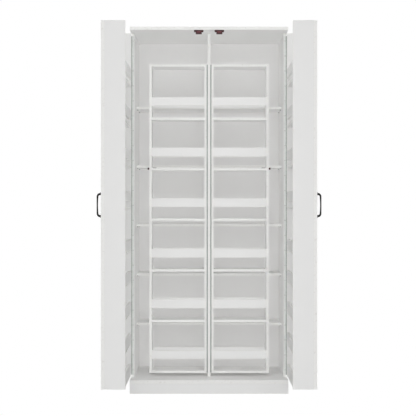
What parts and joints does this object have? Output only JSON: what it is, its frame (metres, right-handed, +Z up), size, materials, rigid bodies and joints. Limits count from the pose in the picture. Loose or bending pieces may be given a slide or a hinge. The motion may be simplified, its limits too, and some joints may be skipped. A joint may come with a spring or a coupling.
{
  "type": "pantry cabinet",
  "caption": "Tall white pantry cabinet with deep shelved box doors on piano hinges, swing-out inner racks, fixed rear shelves, magnetic catches and black bow handles.",
  "frame": {"origin": "on the floor, under the middle of the object's box with both doors standing open at 90 degrees", "axes": "+Z up; +X to the viewer's right when facing the open front; +Y towards the back panel, so the front faces -Y"},
  "size_m": [1.0794, 0.7662, 1.85],
  "materials": {
    "laminate": "matt white melamine on particleboard",
    "hardboard": "white painted hardboard sheet",
    "hinge_steel": "zinc plated rolled steel",
    "plate_steel": "bright steel plate",
    "black_handle": "satin black powder coat",
    "catch_plastic": "moulded brown plastic"
  },
  "bodies": {
    "cabinet": {"top_panel": "laminate", "bottom_panel": "laminate", "plinth_front": "laminate", "plinth_rear": "laminate", "plinth_left": "laminate", "plinth_right": "laminate", "left_side": "laminate", "right_side": "laminate", "centre_partition": "laminate", "back_panel": "hardboard", "left_shelf_1": "laminate", "left_shelf_2": "laminate", "left_shelf_3": "laminate", "left_shelf_4": "laminate", "left_shelf_5": "laminate", "left_door_hinge_fixed_leaf": "hinge_steel", "left_door_hinge_pin": "hinge_steel", "left_rack_hinge_fixed_leaf": "hinge_steel", "left_rack_hinge_pin": "hinge_steel", "left_door_catch": "catch_plastic", "left_rack_catch": "catch_plastic", "right_shelf_1": "laminate", "right_shelf_2": "laminate", "right_shelf_3": "laminate", "right_shelf_4": "laminate", "right_shelf_5": "laminate", "right_door_hinge_fixed_leaf": "hinge_steel", "right_door_hinge_pin": "hinge_steel", "right_rack_hinge_fixed_leaf": "hinge_steel", "right_rack_hinge_pin": "hinge_steel", "right_door_catch": "catch_plastic", "right_rack_catch": "catch_plastic"},
    "left_door": {"left_door_face": "laminate", "left_door_hinge_side": "laminate", "left_door_shelf_frame": "laminate", "left_door_handle": "black_handle", "left_door_strike": "plate_steel", "left_door_hinge_moving_leaf": "hinge_steel"},
    "left_rack": {"left_rack_hinge_side": "laminate", "left_rack_shelf_frame": "laminate", "left_rack_bottom": "laminate", "left_rack_top": "laminate", "left_rack_strike": "plate_steel", "left_rack_hinge_moving_leaf": "hinge_steel"},
    "left_door_magnet": {"left_door_catch_magnet": "plate_steel"},
    "left_rack_magnet": {"left_rack_catch_magnet": "plate_steel"},
    "right_door": {"right_door_face": "laminate", "right_door_hinge_side": "laminate", "right_door_shelf_frame": "laminate", "right_door_handle": "black_handle", "right_door_strike": "plate_steel", "right_door_hinge_moving_leaf": "hinge_steel"},
    "right_rack": {"right_rack_hinge_side": "laminate", "right_rack_shelf_frame": "laminate", "right_rack_bottom": "laminate", "right_rack_top": "laminate", "right_rack_strike": "plate_steel", "right_rack_hinge_moving_leaf": "hinge_steel"},
    "right_door_magnet": {"right_door_catch_magnet": "plate_steel"},
    "right_rack_magnet": {"right_rack_catch_magnet": "plate_steel"}
  },
  "joints": [
    {"name": "left_door_swing", "type": "hinge", "parent": "cabinet", "child": "left_door", "pos_m": [-0.3972, 0.0126, 0.949], "axis": [0, 0, -1], "range_deg": [-90, 85]},
    {"name": "left_rack_swing", "type": "hinge", "parent": "cabinet", "child": "left_rack", "pos_m": [-0.00955, 0.0295, 0.8815], "axis": [0, 0, 1], "range_deg": [0, 90]},
    {"name": "left_door_magnet_float", "type": "slide", "parent": "cabinet", "child": "left_door_magnet", "axis": [0, -1, 0], "range_m": [0, 0.001]},
    {"name": "left_rack_magnet_float", "type": "slide", "parent": "cabinet", "child": "left_rack_magnet", "axis": [0, -1, 0], "range_m": [0, 0.0008]},
    {"name": "right_door_swing", "type": "hinge", "parent": "cabinet", "child": "right_door", "pos_m": [0.3972, 0.0126, 0.949], "axis": [0, 0, 1], "range_deg": [-90, 85]},
    {"name": "right_rack_swing", "type": "hinge", "parent": "cabinet", "child": "right_rack", "pos_m": [0.00955, 0.0295, 0.8815], "axis": [0, 0, -1], "range_deg": [0, 90]},
    {"name": "right_door_magnet_float", "type": "slide", "parent": "cabinet", "child": "right_door_magnet", "axis": [0, -1, 0], "range_m": [0, 0.001]},
    {"name": "right_rack_magnet_float", "type": "slide", "parent": "cabinet", "child": "right_rack_magnet", "axis": [0, -1, 0], "range_m": [0, 0.0008]}
  ]
}
